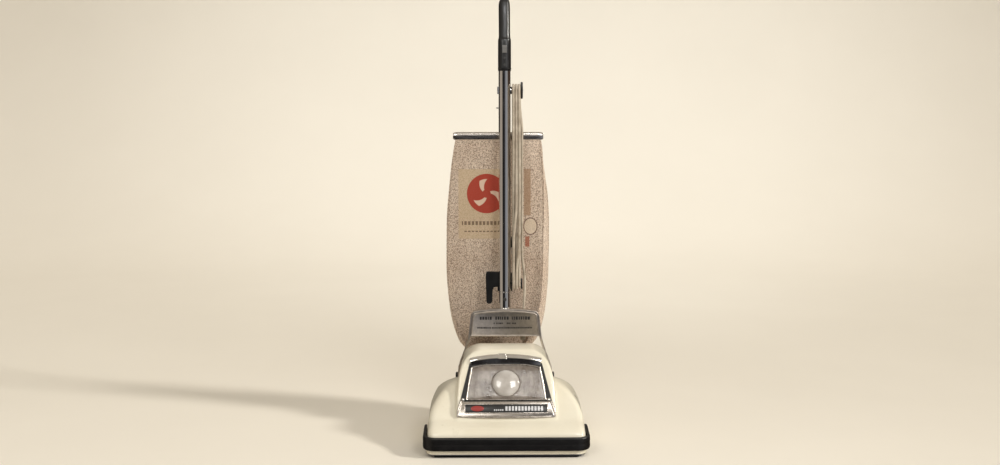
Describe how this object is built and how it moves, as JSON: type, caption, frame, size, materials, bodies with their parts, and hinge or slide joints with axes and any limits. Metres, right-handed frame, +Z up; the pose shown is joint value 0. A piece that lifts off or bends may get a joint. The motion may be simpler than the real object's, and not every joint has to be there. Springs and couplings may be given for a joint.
{
  "type": "upright vacuum cleaner",
  "caption": "Bagged upright vacuum cleaner with headlight hood, furniture guard, brush roll nozzle, leaning chrome tube handle, tweed dust bag and wound mains cord.",
  "frame": {"origin": "on the floor under the middle of the machine's box", "axes": "+Z up, front of the nozzle towards -Y, handle leans back towards +Y"},
  "size_m": [0.38, 0.396, 1.0292],
  "materials": {
    "cream_paint": "smooth satin paint",
    "black_rubber": "matt",
    "chrome": "polished",
    "satin_metal": "satin brushed",
    "zinc_steel": "zinc plated",
    "dark_steel": "black",
    "black_plastic": "gloss",
    "grey_plastic": "moulded",
    "lens_glass": "clear ribbed",
    "reflector": "bright",
    "copper_windings": "varnished",
    "carbon": "matt",
    "brush_bristle": "stiff bristle",
    "agitator_red": "painted",
    "bag_cloth": "tweed",
    "cord_vinyl": "vinyl",
    "wheel_tyre": "matt"
  },
  "bodies": {
    "base": {"chassis": "cream_paint", "bottom_plate": "zinc_steel", "furniture_guard": "black_rubber", "hood_shell": "cream_paint", "lens_gasket": "black_rubber", "headlight_lens": "lens_glass", "headlight_reflector": "reflector", "headlight_bulb": "lens_glass", "headlight_bezel": "chrome", "visor_trim": "chrome", "motor_casing": "dark_steel", "motor_stator": "copper_windings", "motor_bearings": "zinc_steel", "carbon_brushes": "carbon", "fan_housing": "grey_plastic", "exhaust_duct": "grey_plastic", "bag_collar": "black_rubber", "drive_belt": "black_rubber", "agitator_bearings": "black_plastic", "rear_axle": "zinc_steel", "pedal_bracket": "zinc_steel", "pedal_spring": "zinc_steel", "trunnion_brackets": "zinc_steel", "pivot_pins": "dark_steel", "hood_screws": "zinc_steel"},
    "motor_rotor": {"motor_armature": "copper_windings", "motor_shaft": "zinc_steel", "fan_impeller": "grey_plastic", "motor_pulley": "zinc_steel"},
    "agitator": {"agitator_cylinder": "agitator_red", "agitator_pulley": "zinc_steel", "beater_bars": "zinc_steel", "brush_rows": "brush_bristle"},
    "wheel_rear_left": {"rear_wheel_left": "wheel_tyre"},
    "wheel_rear_right": {"rear_wheel_right": "wheel_tyre"},
    "carriage": {"front_carriage": "zinc_steel"},
    "wheel_front_left": {"front_wheel_left": "wheel_tyre"},
    "wheel_front_right": {"front_wheel_right": "wheel_tyre"},
    "height_slider": {"height_knob": "black_plastic"},
    "pedal": {"release_pedal": "black_plastic"},
    "latch_left": {"plate_latch_left": "zinc_steel"},
    "latch_right": {"plate_latch_right": "zinc_steel"},
    "handle": {"handle_bail": "satin_metal", "bail_plate": "satin_metal", "handle_socket": "chrome", "lower_tube": "chrome", "upper_tube": "chrome", "handle_screws": "chrome", "lower_cord_hook": "black_plastic", "upper_hook_clamp": "black_plastic", "grip": "black_plastic", "bag_clip": "satin_metal", "bag_hanger": "zinc_steel", "dust_bag": "bag_cloth", "cord_lead": "cord_vinyl", "cord_winding": "cord_vinyl", "cord_plug": "black_plastic", "strain_relief": "cord_vinyl"},
    "cord_hook": {"upper_cord_hook": "black_plastic"},
    "switch": {"power_switch": "grey_plastic"}
  },
  "joints": [
    {"name": "handle_recline", "type": "hinge", "parent": "base", "child": "handle", "pos_m": [0, 0.052, 0.132], "axis": [-1, 0, 0], "range_deg": [0, 74]},
    {"name": "motor_spin", "type": "hinge", "parent": "base", "child": "motor_rotor", "pos_m": [0, 0.005, 0.1], "axis": [0, 0, 1], "continuous": true},
    {"name": "agitator_spin", "type": "hinge", "parent": "base", "child": "agitator", "pos_m": [0, -0.15, 0.032], "axis": [1, 0, 0], "continuous": true},
    {"name": "rear_wheel_left_spin", "type": "hinge", "parent": "base", "child": "wheel_rear_left", "pos_m": [0.124, 0.074, 0.025], "axis": [1, 0, 0], "continuous": true},
    {"name": "rear_wheel_right_spin", "type": "hinge", "parent": "base", "child": "wheel_rear_right", "pos_m": [-0.124, 0.074, 0.025], "axis": [1, 0, 0], "continuous": true},
    {"name": "nozzle_height", "type": "hinge", "parent": "base", "child": "carriage", "pos_m": [0, -0.062, 0.013], "axis": [1, 0, 0], "range_deg": [0, 12]},
    {"name": "front_wheel_left_spin", "type": "hinge", "parent": "carriage", "child": "wheel_front_left", "pos_m": [0.0645, -0.098, 0.011], "axis": [1, 0, 0], "continuous": true},
    {"name": "front_wheel_right_spin", "type": "hinge", "parent": "carriage", "child": "wheel_front_right", "pos_m": [-0.0645, -0.098, 0.011], "axis": [1, 0, 0], "continuous": true},
    {"name": "height_slider_travel", "type": "slide", "parent": "base", "child": "height_slider", "axis": [1, 0, 0], "range_m": [0, 0.036]},
    {"name": "pedal_press", "type": "hinge", "parent": "base", "child": "pedal", "pos_m": [0.076, 0.086, 0.058], "axis": [-1, 0, 0], "range_deg": [0, 12], "stiffness_Nm_per_rad": 1.5, "springref_deg": -5.73},
    {"name": "plate_latch_left_turn", "type": "hinge", "parent": "base", "child": "latch_left", "pos_m": [0.13, -0.1, 0.006], "axis": [0, 0, 1], "range_deg": [0, 90]},
    {"name": "plate_latch_right_turn", "type": "hinge", "parent": "base", "child": "latch_right", "pos_m": [-0.13, -0.1, 0.006], "axis": [0, 0, -1], "range_deg": [0, 90]},
    {"name": "cord_hook_turn", "type": "hinge", "parent": "handle", "child": "cord_hook", "pos_m": [0, 0.12344, 0.81173], "axis": [1, 0, 0], "range_deg": [0, 180]},
    {"name": "power_switch_slide", "type": "slide", "parent": "handle", "child": "switch", "axis": [0, 0.1045, 0.9945], "range_m": [0, 0.007]}
  ],
  "couplings": [
    {"joint": "agitator_spin", "follows": "motor_spin", "ratio": 0.6},
    {"joint": "height_slider_travel", "follows": "nozzle_height", "m_per_rad": 0.17189}
  ]
}
